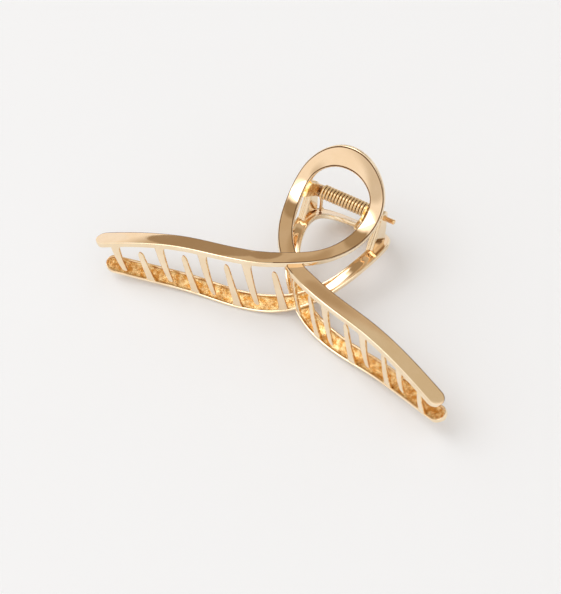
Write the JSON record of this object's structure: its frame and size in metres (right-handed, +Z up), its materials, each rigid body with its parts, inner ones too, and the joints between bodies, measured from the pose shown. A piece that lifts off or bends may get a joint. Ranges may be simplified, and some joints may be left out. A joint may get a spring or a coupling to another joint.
{
  "type": "claw clip",
  "caption": "Gold-plated metal claw clip: two crossed-ribbon halves with teeth, hinged on a sprung pin inside their loops.",
  "frame": {"origin": "bottom centre of the bounding box of the closed clip, lying on its back half", "axes": "+X along the hinge pin, +Y from the teeth towards the finger loops, +Z up"},
  "size_m": [0.1102, 0.0566, 0.0378],
  "materials": {
    "gold_plated_casting": "polished gold plate",
    "gold_plated_wire": "gold-plated drawn wire",
    "gold_plated_pin": "gold-plated drawn rod"
  },
  "bodies": {
    "back": {"back_half": "gold_plated_casting", "hinge_pin": "gold_plated_pin", "torsion_spring": "gold_plated_wire"},
    "front": {"front_half": "gold_plated_casting"}
  },
  "joints": [
    {"name": "jaw_hinge", "type": "hinge", "parent": "back", "child": "front", "pos_m": [-0.00035, 0.01946, 0.01859], "axis": [-1, 0, 0], "range_deg": [0, 60], "stiffness_Nm_per_rad": 0.05, "springref_deg": -20.05, "deforming": ["torsion_spring"]}
  ]
}
